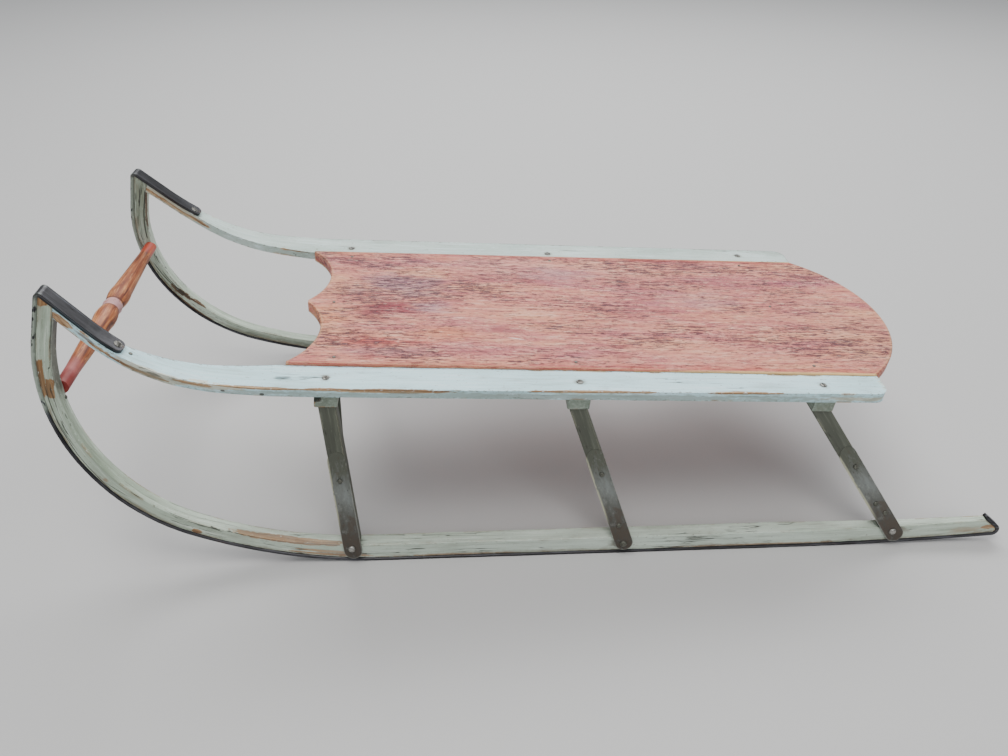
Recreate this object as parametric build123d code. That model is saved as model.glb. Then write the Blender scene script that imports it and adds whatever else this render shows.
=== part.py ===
from build123d import *
import math
import os

# Child's bentwood sled: two shod runners, two rails that meet them at the front tips,
# a shaped deck board on three crossbeams, six leaning legs with irons, and a turned crossbar.
# Millimetres. +X is forwards, +Y is the sled's left, +Z is up, and the runners stand on z = 0.

# Overall
overall_length = 935.5
toe_out_deg = 1.5
lean_in_deg = 9.5
runner_half_spacing = 197.0

# Iron shoe
shoe_thickness = 3.5
shoe_side_lap = 0.2
tail_strap_length = 16.0
rail_strap_setback = 79.5
strap_end_round = 6.0

# Runner bar. A setback or lead is measured from the sled's front or rear end.
runner_width = 14.5
runner_depth = 16.5
runner_front_depth = 12.5
sole_front_setback = 292.0
sole_rear_lead = 245.5
front_rise_turn_deg = 23.5
front_bend_radius = 169.5
front_back_lean_deg = 18.0
tip_round = 1.0
tail_rise_radius = 4000.0
tail_round = 3.5
tail_chamfer_deg = 39.0

# Rail strip
rail_thickness = 9.0
rail_rear_thickness = 11.0
rail_side_setback = 46.0
rail_width_front = 37.0
rail_width_rear = 30.0
rail_rear_lead = 136.5
rail_rear_round = 13.0
rail_slope_deg = 3.46
rail_mid_height = 177.0
rail_rise_setback = 231.0
rail_rise_radius = 699.0
rail_rise_turn_deg = 6.0
rail_bend_radius = 181.0
rail_bend_turn_deg = 38.5
rail_inner_taper_setback = 204.0
rail_outer_taper_setback = 121.0
rail_inner_lap = 1.0

# Crossbeams
station_front_setback = 249.0
station_rear_lead = 198.5
station_middle_lead = 4.0
beam_width = 22.0
beam_height = 15.0
beam_end_inset = 4.0
beam_edge_round = 1.5

# Legs. The rake is how far the foot stands behind the top.
leg_width = 16.5
leg_thickness = 13.0
leg_top_inset = 3.5
leg_spare_length = 12.0
leg_rake_front = 11.0
leg_rake_middle = 46.0
leg_rake_rear = 81.0

# Leg irons
iron_width = 18.0
iron_thickness = 2.6
iron_share_of_leg = 0.62
iron_foot_clear = 2.5

# Inner braces
brace_width = 11.0
brace_thickness = 3.0
brace_reach = 58.0
brace_tab = 17.0
brace_share_of_leg = 0.60
brace_past_seat = 1.2

# Deck board
deck_thickness = 12.0
deck_front_setback = 209.0
deck_scallop_depth = 25.0
deck_point_setback = 6.5
deck_point_half = 2.5
deck_horn_width = 3.5
deck_corner_lead = 2.0
deck_rear_depth = 62.0
deck_side_gap = 0.4
deck_edge_round = 1.5

# Turned crossbar
bar_height = 196.0
bar_setback = 14.0
bar_end_radius = 6.4
bar_swell_radius = 9.8
bar_ring_radius = 9.7
bar_ring_width = 9.0
bar_shoulder_radius = 9.0
bar_shoulder_share = 0.7
bar_groove_radius = 8.6
bar_groove_width = 1.6
bar_bulge_length = 26.0
bar_bulge_rise = 0.8
bar_end_straight = 112.0

# Places along the sled
front_end = overall_length / 2
rear_end = -front_end
sole_flat_front = front_end - sole_front_setback
sole_flat_rear = rear_end + sole_rear_lead
rail_rear_end = rear_end + rail_rear_lead
rail_rise_start = front_end - rail_rise_setback
rail_taper_start = front_end - rail_inner_taper_setback
rail_outer_taper = front_end - rail_outer_taper_setback
rail_strap_end = front_end - rail_strap_setback
station_front = front_end - station_front_setback
station_rear = rear_end + station_rear_lead
station_middle = (station_front + station_rear) / 2 + station_middle_lead
deck_front = front_end - deck_front_setback
deck_rear_corner = rail_rear_end + deck_corner_lead
deck_rear = deck_rear_corner - deck_rear_depth

# Places across the sled
rail_outer_half = runner_half_spacing - rail_side_setback
rail_inner_half_front = rail_outer_half - rail_width_front
rail_inner_half_rear = rail_outer_half - rail_width_rear
beam_half_length = rail_outer_half - beam_end_inset


def direction(angle_deg):
    return Vector(math.cos(math.radians(angle_deg)), 0, math.sin(math.radians(angle_deg)))


def left_of(heading_deg):
    return direction(heading_deg + 90)


# A route in the side view is a start point, a heading and steps. A step is a straight length,
# or a radius with a turn in degrees, where a turn to the left is positive. The edges can be
# drawn beside the route: a shift to the left keeps every arc's centre.
def trace(start, heading, steps, shift=0.0):
    edges = []
    point = start
    for length, turn in steps:
        side = left_of(heading) * shift
        if turn == 0:
            end = point + direction(heading) * length
            edges.append(Edge.make_line(point + side, end + side))
        else:
            sign = math.copysign(1, turn)
            centre = point + left_of(heading) * length * sign
            reach = length - shift * sign
            arc_ends = []
            for share in (0, 0.5, 1):
                spoke = left_of(heading + turn * share) * -sign
                arc_ends.append(centre + spoke * reach)
            edges.append(Edge.make_three_point_arc(*arc_ends))
            end = centre + left_of(heading + turn) * -sign * length
            heading = heading + turn
        point = end
    return edges, point, heading


# A closed side-view strip between two rows of edges that run the same way.
def strip(edges_a, edges_b):
    first = Edge.make_line(edges_a[0] @ 0, edges_b[0] @ 0)
    last = Edge.make_line(edges_a[-1] @ 1, edges_b[-1] @ 1)
    return Face(Wire(edges_a + [last] + edges_b + [first]))


# A closed side-view region inside one route, shut by straight lines through far corners.
def region(start, heading, steps, shift, corners):
    edges, _, _ = trace(start, heading, steps, shift)
    points = [edges[-1] @ 1] + corners + [edges[0] @ 0]
    for a, b in zip(points, points[1:]):
        edges.append(Edge.make_line(a, b))
    return Face(Wire(edges))


# A side-view face drawn out over the sled's whole left half.
def through(face):
    return extrude(face, amount=overall_length / 2, dir=(0, 1, 0))


# Everything on the inner side of a plane, as a block that is larger than the sled.
def inner_side(point, out_normal, grow=0.0):
    block = 3 * overall_length
    wall = Plane(origin=point, x_dir=(1, 0, 0), z_dir=out_normal)
    return wall * Pos(0, 0, grow - block / 2) * Box(block, block, block)


# The wood that the iron shoe lies on runs flat, rises on a long arc, bends up and then leans
# back in a straight length to the tip.
front_rise_sin = math.sin(math.radians(front_rise_turn_deg))
front_rise_cos = math.cos(math.radians(front_rise_turn_deg))
bend_centre_x = front_end - shoe_thickness - front_bend_radius
front_rise_radius = front_bend_radius + (bend_centre_x - sole_flat_front) / front_rise_sin
bend_rise = front_rise_radius * (1 - front_rise_cos) + front_bend_radius * front_rise_cos
front_heading = 90 + front_back_lean_deg
sole_steps = [
    (sole_flat_front - sole_flat_rear, 0),
    (front_rise_radius, front_rise_turn_deg),
    (front_bend_radius, front_heading - front_rise_turn_deg),
]
_, front_top, _ = trace(Vector(sole_flat_rear, 0, shoe_thickness), 0, sole_steps)

# The rail's top line: straight over the deck, then two arcs up to the straight nose.
rail_slope = direction(rail_slope_deg)
rail_mid = Vector(station_middle, 0, rail_mid_height)
rail_tail = rail_mid - rail_slope * ((station_middle - rail_rear_end) / rail_slope.X)
rail_straight = (rail_rise_start - rail_rear_end) / rail_slope.X
rail_bends = [
    (rail_rise_radius, rail_rise_turn_deg),
    (rail_bend_radius, rail_bend_turn_deg),
]
rail_steps = [(rail_straight, 0)] + rail_bends
_, rail_nose, nose_heading = trace(rail_tail, rail_slope_deg, rail_steps)
rail_bend_centre = rail_nose + left_of(nose_heading) * rail_bend_radius
strap_end_sin = (rail_strap_end - rail_bend_centre.X) / rail_bend_radius
strap_bend_deg = nose_heading - math.degrees(math.asin(strap_end_sin))

# The front's straight length and the rail's straight nose meet in a corner, and the tip's
# small arc touches both.
front_way = direction(front_heading)
nose_way = direction(nose_heading)
between = rail_nose - front_top
corner_sine = math.sin(math.radians(nose_heading - front_heading))
tip_turn_deg = nose_heading + 180 - front_heading
tip_tangent = tip_round * math.tan(math.radians(tip_turn_deg / 2))
front_length = (between.X * nose_way.Z - between.Z * nose_way.X) / corner_sine - tip_tangent
nose_length = (between.X * front_way.Z - between.Z * front_way.X) / corner_sine - tip_tangent
tip_centre = front_top + front_way * front_length + left_of(front_heading) * tip_round

# The tail rises on a long arc and ends in a small round under the chamfer.
tail_reach = sole_rear_lead - shoe_thickness - tail_round
tail_rise_deg = math.degrees(math.asin(tail_reach / (tail_rise_radius - tail_round)))
tail_turn_deg = 180 - tail_rise_deg - tail_chamfer_deg
tail_rise = (tail_rise_radius, -tail_rise_deg)
tail_corner = (tail_round, -tail_turn_deg)


# Starts a route at the tail: follows steps backwards from the sole, then turns them round.
def from_tail(backward_steps, steps):
    _, end, heading = trace(Vector(sole_flat_rear, 0, shoe_thickness), 180, backward_steps)
    forward_steps = []
    for length, turn in reversed(backward_steps):
        forward_steps.append((length, -turn))
    return end, heading + 180, forward_steps + steps


tip_steps = [(front_length, 0), (tip_round, tip_turn_deg), (nose_length, 0)]

# The runner's side walls lean in and toe out.
toe = math.radians(toe_out_deg)
lean = math.radians(lean_in_deg)
runner_out = Vector(math.sin(toe) * math.cos(lean), math.cos(toe) * math.cos(lean), math.sin(lean))
runner_foot = Vector(0, runner_half_spacing, 0)


def runner_slab(inset):
    outer = inner_side(runner_foot, runner_out, -inset)
    return outer - inner_side(runner_foot, runner_out, inset - runner_width)


def runner_face_y(x, z, inset=0.0):
    gap = runner_out.X * x + runner_out.Z * z + inset
    return runner_half_spacing - gap / runner_out.Y


# The bar thins towards the front: its hollow side bends about the same centre as its sole.
hollow_bend_radius = front_bend_radius + runner_depth - runner_front_depth
hollow_rise_radius = (bend_rise - hollow_bend_radius * front_rise_cos) / (1 - front_rise_cos)
hollow_flat = bend_centre_x - sole_flat_rear - (hollow_rise_radius - hollow_bend_radius) * front_rise_sin
hollow_steps = [
    (hollow_flat, 0),
    (hollow_rise_radius, front_rise_turn_deg),
    (hollow_bend_radius, front_heading - front_rise_turn_deg),
    (overall_length, 0),
]

# Runner: the wood's route less everything above the bar's depth, between the leaning walls.
chamfer_run = 3 * runner_depth
wood_side = region(*from_tail([tail_rise, tail_corner, (chamfer_run, 0)], sole_steps + tip_steps), 0, [])
hollow_side = region(
    *from_tail([tail_rise, (chamfer_run, 0)], hollow_steps),
    runner_depth,
    [Vector(rear_end, 0, overall_length)],
)
runner_side = wood_side - hollow_side
runner_left = through(runner_side) & runner_slab(0)

# Shoe: one strap under the sole, up the front, over the tip and back along the rail.
strap_steps = sole_steps + tip_steps + [(rail_bend_radius, -strap_bend_deg)]
strap_route = from_tail([tail_rise, tail_corner, (tail_strap_length, 0)], strap_steps)
strap_inside, strap_end, _ = trace(*strap_route)
strap_outside, _, _ = trace(*strap_route, -shoe_thickness)
shoe_left = through(strip(strap_inside, strap_outside)) & runner_slab(-shoe_side_lap)
strap_end_y = runner_face_y(strap_end.X, strap_end.Z, runner_width / 2)
strap_end_face = shoe_left.faces().sort_by_distance(strap_end + Vector(0, strap_end_y, 0))[0]
strap_end_corners = strap_end_face.edges().sort_by(SortBy.LENGTH)[:2]
shoe_left = fillet(strap_end_corners, strap_end_round)

# Rail: a flat strip that ends on the hollow side of the runner's tip. It thickens rearwards.
rail_start_down = left_of(rail_slope_deg) * -1
rail_under_start = rail_tail + rail_start_down * rail_rear_thickness
rail_under_slope_deg = rail_slope_deg + math.degrees(
    math.atan((rail_rear_thickness - rail_thickness) / rail_straight))
rail_top, _, _ = trace(rail_tail, rail_slope_deg, rail_steps + [(nose_length, 0)])
rail_rise = rail_tail + rail_slope * rail_straight
rail_under, _, _ = trace(rail_rise, rail_slope_deg, rail_bends + [(nose_length, 0)], -rail_thickness)
rail_under = [Edge.make_line(rail_under_start, rail_under[0] @ 0)] + rail_under
rail_side = strip(rail_top, rail_under) - runner_side
tip_outer = runner_face_y(tip_centre.X, tip_centre.Z)
tip_inner = runner_face_y(tip_centre.X, tip_centre.Z, runner_width)
strap_end_inner = runner_face_y(strap_end.X, strap_end.Z, runner_width) - rail_inner_lap
inner_lead = Vector(rail_strap_end - rail_taper_start, strap_end_inner - rail_inner_half_front)
rail_plan_edges = [
    Edge.make_line((rail_rear_end, rail_inner_half_rear), (rail_taper_start, rail_inner_half_front)),
    Edge.make_line((rail_taper_start, rail_inner_half_front), (rail_strap_end, strap_end_inner)),
    Edge.make_tangent_arc((rail_strap_end, strap_end_inner), inner_lead, (tip_centre.X, tip_inner)),
    Edge.make_line((tip_centre.X, tip_inner), (tip_centre.X, tip_outer)),
    Edge.make_tangent_arc((rail_outer_taper, rail_outer_half), (1, 0), (tip_centre.X, tip_outer)),
    Edge.make_line((rail_outer_taper, rail_outer_half), (rail_rear_end, rail_outer_half)),
    Edge.make_line((rail_rear_end, rail_outer_half), (rail_rear_end, rail_inner_half_rear)),
]
rail_plan = Face(Wire(rail_plan_edges))
rear_corner = rail_plan.vertices().sort_by(Axis.X)[:2].sort_by(Axis.Y)[-1]
rail_plan = fillet(rear_corner, rail_rear_round)
rail_left = through(rail_side) & extrude(rail_plan, amount=overall_length)

# Crossbeams lie under the rails, square to them.
rail_down = left_of(rail_under_slope_deg) * -1
under_way = direction(rail_under_slope_deg)


def under_rail(station, depth):
    reach = (station - rail_under_start.X) / under_way.X
    return rail_under_start + under_way * reach + rail_down * depth


def crossbeam(station):
    seat = under_rail(station, beam_height / 2)
    beam = Rot(0, -rail_under_slope_deg, 0) * Box(beam_width, 2 * beam_half_length, beam_height)
    return Pos(*seat) * fillet(beam.edges().filter_by(Axis.Y), beam_edge_round)


# A bar with a level section that runs from one point to another.
def skew_bar(foot, size_x, size_y, way):
    section = Pos(*foot) * Rectangle(size_x, size_y)
    return extrude(section, amount=way.length, dir=way.normalized())


# A leg with its outer iron and its inner brace, for one station on the left side.
def leg_set(station, rake):
    foot_x = station - rake
    runner_top = shoe_thickness + runner_depth
    seat = under_rail(station, beam_height)
    below_beam = inner_side(seat, rail_down * -1)
    foot_outer = runner_face_y(foot_x, runner_top)
    top_outer = beam_half_length - leg_top_inset
    outer_foot = Vector(foot_x, foot_outer, runner_top)
    way = Vector(seat.X, top_outer, seat.Z) - outer_foot
    spread = math.hypot(way.X, way.Z) / way.Z
    foot = outer_foot - Vector(0, leg_thickness / 2, 0)
    spare = way * (leg_spare_length / way.Z)
    post = skew_bar(foot - spare, leg_width * spread, leg_thickness, way + spare * 2)
    post = (post & below_beam) - through(runner_side)

    face_out = Vector(0, way.Z, -way.Y).normalized()
    skin = inner_side(outer_foot, face_out, iron_thickness)
    skin = skin & inner_side(runner_foot, runner_out, iron_thickness)
    skin = skin - (inner_side(outer_foot, face_out) & inner_side(runner_foot, runner_out))
    side_way = Vector(way.X, 0, way.Z).normalized()
    iron_low = outer_foot + side_way * (
        (shoe_thickness + iron_foot_clear + iron_width / 2 - runner_top) / side_way.Z)
    iron_high = outer_foot + way * iron_share_of_leg
    iron_middle = Vector((iron_low.X + iron_high.X) / 2, 0, (iron_low.Z + iron_high.Z) / 2)
    iron_run = Vector(iron_high.X - iron_low.X, 0, iron_high.Z - iron_low.Z).length
    side_plane = Plane(origin=iron_middle, x_dir=side_way, z_dir=(0, -1, 0))
    outline = side_plane * SlotCenterToCenter(iron_run, iron_width)
    iron = (through(outline) & skin) - runner_left - post

    brace_foot = outer_foot + way * brace_share_of_leg - Vector(0, leg_thickness, 0)
    tab_y = brace_thickness / face_out.Y
    reach = Vector(seat.X - brace_foot.X, -brace_reach, seat.Z - brace_foot.Z)
    diagonal_y = brace_thickness * math.hypot(reach.Y, reach.Z) / reach.Z
    level_width = brace_width * spread
    low_tab = skew_bar(
        brace_foot - Vector(0, tab_y / 2, 0), level_width, tab_y, way.normalized() * -brace_tab)
    diagonal = skew_bar(
        brace_foot - Vector(0, diagonal_y / 2, 0), level_width, diagonal_y, reach * brace_past_seat)
    high_tab = Pos(*(seat + rail_down * (brace_thickness / 2))) * Rot(0, -rail_under_slope_deg, 0) * Pos(
        0, brace_foot.Y - brace_reach - brace_tab / 2 - diagonal_y / 2, 0)
    high_tab = high_tab * Box(brace_width, brace_tab + diagonal_y, brace_thickness)
    brace = low_tab + (diagonal & below_beam) + high_tab
    return post, iron, brace


# Deck board: between the rails, with a scalloped front and a round rear.
def deck_half_width(x):
    share = (x - rail_rear_end) / (rail_taper_start - rail_rear_end)
    return rail_inner_half_rear + (rail_inner_half_front - rail_inner_half_rear) * share - deck_side_gap


horn_y = deck_half_width(deck_front)
rear_y = deck_half_width(deck_rear_corner)
scallop_y = (horn_y - deck_horn_width + deck_point_half) / 2
deck_edges = [
    Edge.make_line((deck_front, horn_y), (deck_rear_corner, rear_y)),
    Edge.make_three_point_arc((deck_rear_corner, rear_y), (deck_rear, 0), (deck_rear_corner, -rear_y)),
    Edge.make_line((deck_rear_corner, -rear_y), (deck_front, -horn_y)),
    Edge.make_line((deck_front, -horn_y), (deck_front, -horn_y + deck_horn_width)),
    Edge.make_three_point_arc(
        (deck_front, -horn_y + deck_horn_width),
        (deck_front - deck_scallop_depth, -scallop_y),
        (deck_front - deck_point_setback, -deck_point_half)),
    Edge.make_line(
        (deck_front - deck_point_setback, -deck_point_half),
        (deck_front - deck_point_setback, deck_point_half)),
    Edge.make_three_point_arc(
        (deck_front - deck_point_setback, deck_point_half),
        (deck_front - deck_scallop_depth, scallop_y),
        (deck_front, horn_y - deck_horn_width)),
    Edge.make_line((deck_front, horn_y - deck_horn_width), (deck_front, horn_y)),
]
deck_plan = Face(Wire(deck_edges))
deck_seat = under_rail(station_middle, 0)
deck_board = extrude(deck_plan, amount=deck_thickness)
deck_board = fillet(deck_board.faces().sort_by(Axis.Z)[-1].edges(), deck_edge_round)
deck_board = Pos(*deck_seat) * Rot(0, -rail_under_slope_deg, 0) * Pos(-station_middle, 0, 0) * deck_board

# Turned crossbar between the runners: thin red ends, a long swell, and a bead between grooves.
bar_centre = Vector(front_end - bar_setback, 0, bar_height)
bead = bar_ring_width / 2
groove = bead + bar_groove_width
bulge = groove + bar_bulge_length
bar_outline = [
    Edge.make_line((0, 0), (runner_half_spacing, 0)),
    Edge.make_line((runner_half_spacing, 0), (runner_half_spacing, bar_end_radius)),
    Edge.make_line((runner_half_spacing, bar_end_radius), (bar_end_straight, bar_end_radius)),
    Edge.make_line((bar_end_straight, bar_end_radius), (bulge, bar_swell_radius)),
    Edge.make_three_point_arc(
        (bulge, bar_swell_radius),
        ((bulge + groove) / 2, bar_swell_radius + bar_bulge_rise),
        (groove, bar_groove_radius)),
    Edge.make_line((groove, bar_groove_radius), (bead, bar_groove_radius)),
    Edge.make_three_point_arc(
        (bead, bar_groove_radius), (bead * bar_shoulder_share, bar_shoulder_radius), (0, bar_ring_radius)),
    Edge.make_line((0, bar_ring_radius), (0, 0)),
]
half_bar = revolve(Face(Wire(bar_outline)), axis=Axis.X)
crossbar = half_bar + mirror(half_bar, about=Plane.YZ)
crossbar = Pos(*bar_centre) * Rot(0, 0, 90) * crossbar
inner_wall = inner_side(runner_foot, runner_out, -runner_width)
crossbar = crossbar & inner_wall & mirror(inner_wall, about=Plane.XZ)

parts = {
    "runner": runner_left,
    "shoe": shoe_left,
    "rail": rail_left,
}
stations = [
    # name, place along the sled, rake
    ("front", station_front, leg_rake_front),
    ("middle", station_middle, leg_rake_middle),
    ("rear", station_rear, leg_rake_rear),
]
pieces = {"deck_board": deck_board, "crossbar": crossbar}
for name, station, rake in stations:
    pieces["crossbeam_" + name] = crossbeam(station)
    post, iron, brace = leg_set(station, rake)
    parts["leg_" + name] = post
    parts["leg_iron_" + name] = iron
    parts["brace_" + name] = brace
for name, solid in parts.items():
    pieces[name + "_left"] = solid
    pieces[name + "_right"] = mirror(solid, about=Plane.XZ)

os.makedirs("parts", exist_ok=True)
for name, solid in pieces.items():
    export_step(solid, "parts/" + name + ".step")
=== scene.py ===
import math

import bmesh
import bpy
from mathutils import Matrix, Vector, noise


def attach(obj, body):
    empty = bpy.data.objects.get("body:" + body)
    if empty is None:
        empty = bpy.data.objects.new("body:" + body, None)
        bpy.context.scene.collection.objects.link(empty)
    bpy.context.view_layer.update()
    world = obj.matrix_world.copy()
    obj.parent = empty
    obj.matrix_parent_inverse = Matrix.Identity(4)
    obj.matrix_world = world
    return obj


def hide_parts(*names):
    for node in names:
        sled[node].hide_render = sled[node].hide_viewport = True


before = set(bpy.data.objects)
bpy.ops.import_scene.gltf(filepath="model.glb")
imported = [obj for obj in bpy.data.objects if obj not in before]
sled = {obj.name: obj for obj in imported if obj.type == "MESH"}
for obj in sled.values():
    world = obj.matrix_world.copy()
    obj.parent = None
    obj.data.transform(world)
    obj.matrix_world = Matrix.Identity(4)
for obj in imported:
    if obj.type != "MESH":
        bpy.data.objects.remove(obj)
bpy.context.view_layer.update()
print("frame loaded:", len(sled), "nodes")

mm = 0.001
weldDistance = 1e-6
flatAngle = math.radians(0.2)
sides = {"left": 1, "right": -1}
places = ("front", "middle", "rear")


# Camera: solved from the picture, so the sled falls where it does there
cameraFit = {
    "place": (0.09775, 0.715, 0.622),
    "pitchDown": 36.92,
    "yaw": -4.58,
    "roll": 0.56,
    "focalPixels": 764.9,
    "imageWidth": 1008,
    "sensor": 36,
    "clip": (0.01, 50),
}


def addCamera(fit):
    data = bpy.data.cameras.new("photoCamera")
    data.sensor_width = fit["sensor"]
    data.lens = fit["focalPixels"] * fit["sensor"] / fit["imageWidth"]
    data.clip_start, data.clip_end = fit["clip"]
    pitch = math.radians(fit["pitchDown"])
    forward = Vector((0, -math.cos(pitch), -math.sin(pitch)))
    right = Vector((-1, 0, 0))
    down = forward.cross(right)
    roll = math.radians(fit["roll"])
    rollRows = Matrix((
        (math.cos(roll), -math.sin(roll), 0),
        (math.sin(roll), math.cos(roll), 0),
        (0, 0, 1)))
    yaw = Matrix.Rotation(math.radians(fit["yaw"]), 3, "Z")
    rows = rollRows @ Matrix((right, down, forward)) @ yaw.transposed()
    columns = Matrix((rows[0], -rows[1], -rows[2])).transposed()
    camera = bpy.data.objects.new("photoCamera", data)
    bpy.context.collection.objects.link(camera)
    camera.matrix_world = Matrix.Translation(fit["place"]) @ columns.to_4x4()
    bpy.context.scene.camera = camera


addCamera(cameraFit)
print("camera set")


# Floor and soft studio light
studio = {
    "floorSize": 24,
    "floorTone": (0.56, 0.55, 0.54, 1),
    "floorRoughness": 0.7,
    "skyTone": (0.86, 0.9, 0.95, 1),
    "skyStrength": 0.48,
}
lights = {
    "ceilingTubes": {
        "place": (-0.5, -1.9, 2.2), "target": (0, 0, 0.1), "size": (3.2, 1),
        "power": 80, "colour": (0.97, 0.99, 1)},
    "overhead": {
        "place": (0.5, 0.3, 2.6), "target": (0, 0, 0), "size": (2, 1.2),
        "power": 40, "colour": (1, 0.99, 0.97)},
    "frontFill": {
        "place": (-0.8, 2.4, 1.7), "target": (0, 0, 0.1), "size": (1.8, 1.2),
        "power": 20, "colour": (0.97, 0.98, 1)},
}


def addStudio(stage):
    bm = bmesh.new()
    bmesh.ops.create_grid(bm, x_segments=1, y_segments=1, size=stage["floorSize"] / 2)
    mesh = bpy.data.meshes.new("paleFloor")
    bm.to_mesh(mesh)
    bm.free()
    floor = bpy.data.objects.new("paleFloor", mesh)
    bpy.context.collection.objects.link(floor)
    paint = bpy.data.materials.new("paleFloorPaint")
    paint.use_nodes = True
    shader = paint.node_tree.nodes["Principled BSDF"]
    shader.inputs["Base Color"].default_value = stage["floorTone"]
    shader.inputs["Roughness"].default_value = stage["floorRoughness"]
    mesh.materials.append(paint)
    world = bpy.data.worlds.new("softSky")
    world.use_nodes = True
    sky = world.node_tree.nodes["Background"]
    sky.inputs["Color"].default_value = stage["skyTone"]
    sky.inputs["Strength"].default_value = stage["skyStrength"]
    bpy.context.scene.world = world


def addLight(name, lamp):
    data = bpy.data.lights.new(name, "AREA")
    data.shape = "RECTANGLE"
    data.size, data.size_y = lamp["size"]
    data.energy = lamp["power"]
    data.color = lamp["colour"]
    light = bpy.data.objects.new(name, data)
    bpy.context.collection.objects.link(light)
    aim = (Vector(lamp["target"]) - Vector(lamp["place"])).to_track_quat("-Z", "Y")
    light.matrix_world = Matrix.Translation(lamp["place"]) @ aim.to_matrix().to_4x4()


addStudio(studio)
for name, lamp in lights.items():
    addLight(name, lamp)
print("studio lit")


# Routes in the side view, in millimetres: steps are lengths, or radii with a turn in degrees
runnerRoute = {
    "start": (-460.96, 10.63),
    "heading": -3.4213,
    "steps": [(4000, 3.4213), (398, 0), (467.93, 23.5), (169.5, 84.5), (60, 0)],
}
strapRoute = {
    "start": runnerRoute["start"],
    "heading": runnerRoute["heading"],
    "steps": runnerRoute["steps"][:-1] + [(40.33, 0), (1, 119.96), (41.32, 0), (181, -11.11)],
}
railRoute = {
    "start": (-331.25, 158.257),
    "heading": 3.46,
    "steps": [(569.04, 0), (699, 6), (181, 38.5), (41.32, 0)],
}
runnerWall = {"halfSpacing": 197, "toe": 0.025818, "out": 0.985948, "lean": 0.165048, "width": 14.5}
railOuterHalf = 151
strayCost = 4


# Where a share of one step of a route ends, and the heading there
def advance(point, heading, length, turn, share):
    if turn == 0:
        return point + Vector((math.cos(heading), math.sin(heading))) * length * share, heading
    sign = math.copysign(1, turn)
    centre = point + Vector((-math.sin(heading), math.cos(heading))) * length * sign
    heading = heading + turn * share
    return centre + Vector((math.sin(heading), -math.cos(heading))) * length * sign, heading


# How far along a route a point lies, and how far to its left: the nearest step counts
def followRoute(x, z, route):
    point, heading = Vector(route["start"]), math.radians(route["heading"])
    passed = 0
    best = None
    for length, turnDegrees in route["steps"]:
        turn = math.radians(turnDegrees)
        forward = Vector((math.cos(heading), math.sin(heading)))
        left = Vector((-forward.y, forward.x))
        if turn == 0:
            offset = Vector((x, z)) - point
            run = offset.dot(forward)
            held = min(max(run, 0), length)
            side = offset.dot(left)
            stray = abs(run - held)
            size = length
        else:
            sign = math.copysign(1, turn)
            spoke = Vector((x, z)) - (point + left * length * sign)
            start = left * -sign
            angle = math.atan2(start.x * spoke.y - start.y * spoke.x, start.dot(spoke)) * sign
            held = min(max(angle, 0), abs(turn)) * length
            side = (length - spoke.length) * sign
            stray = abs(angle * length - held)
            size = abs(turn) * length
        score = abs(side) + strayCost * stray
        if best is None or score < best[0]:
            best = (score, passed + held, side)
        passed += size
        point, heading = advance(point, heading, length, turn, 1)
    return best[1], best[2]


def cutAcross(bm, place, normal, **settings):
    return bmesh.ops.bisect_plane(
        bm, geom=bm.verts[:] + bm.edges[:] + bm.faces[:], dist=weldDistance,
        plane_co=place, plane_no=normal, **settings)


# Cuts a piece square to a route, so that its wear and grain can follow the bend
def cutAlong(bm, route, spacing):
    point, heading = Vector(route["start"]), math.radians(route["heading"])
    for length, turnDegrees in route["steps"]:
        turn = math.radians(turnDegrees)
        size = length if turn == 0 else abs(turn) * length
        pieces = max(1, round(size / spacing))
        for step in range(1, pieces + 1):
            place, way = advance(point, heading, length, turn, step / pieces)
            cutAcross(bm, (place.x * mm, 0, place.y * mm), (math.cos(way), 0, math.sin(way)))
        point, heading = place, way


# A merged copy of a solid, with its flat faces joined up again
def copySolid(node):
    bm = bmesh.new()
    bm.from_mesh(sled[node].data)
    bmesh.ops.remove_doubles(bm, verts=bm.verts, dist=weldDistance)
    bmesh.ops.dissolve_limit(bm, angle_limit=flatAngle, verts=bm.verts, edges=bm.edges)
    return bm


def bevelEdges(bm, edges, width, segments, clamp):
    bmesh.ops.bevel(
        bm, geom=edges, offset=width * mm, offset_type="OFFSET", affect="EDGES",
        segments=segments, profile=0.5, material=-1, clamp_overlap=clamp)


def easeEdges(bm, width, segments, keep=None, sharpest=30):
    chosen = []
    for edge in bm.edges:
        if len(edge.link_faces) == 2 and edge.calc_face_angle() > math.radians(sharpest):
            if keep is None or keep(edge):
                chosen.append(edge)
    bevelEdges(bm, chosen, width, segments, True)


# Hand wear: the surface sinks a little here and there, by coarse and fine noise
handWear = {"shift": (7.1, 3.3, 1.7), "fineShare": 0.5, "fineScale": 3.1, "least": 0.35}


def roughen(bm, depth, scale, seed):
    bm.normal_update()
    shift = Vector([seed * value for value in handWear["shift"]])
    for vert in bm.verts:
        coarse = noise.noise(vert.co * scale + shift)
        fine = noise.noise(vert.co * scale * handWear["fineScale"] + shift)
        amount = coarse + handWear["fineShare"] * fine + handWear["least"]
        vert.co -= vert.normal * depth * mm * max(0, amount)


# Coordinates that follow the piece: along it, in from its sole or top, and across it
def layGrain(bm, reading):
    layer = bm.verts.layers.float_vector.new("grain")
    for vert in bm.verts:
        vert[layer] = Vector(reading(vert.co / mm)) * mm


def titled(first, *words):
    return first + "".join(word.capitalize() for word in words)


def finishPiece(bm, name, nodes, material):
    bmesh.ops.recalc_face_normals(bm, faces=bm.faces)
    for face in bm.faces:
        face.smooth = True
    mesh = bpy.data.meshes.new(name)
    bm.to_mesh(mesh)
    bm.free()
    mesh.materials.append(material)
    piece = bpy.data.objects.new(name, mesh)
    bpy.context.collection.objects.link(piece)
    piece.modifiers.new("evenNormals", "WEIGHTED_NORMAL").keep_sharp = True
    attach(piece, "root")
    if nodes:
        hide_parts(*nodes)


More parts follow.
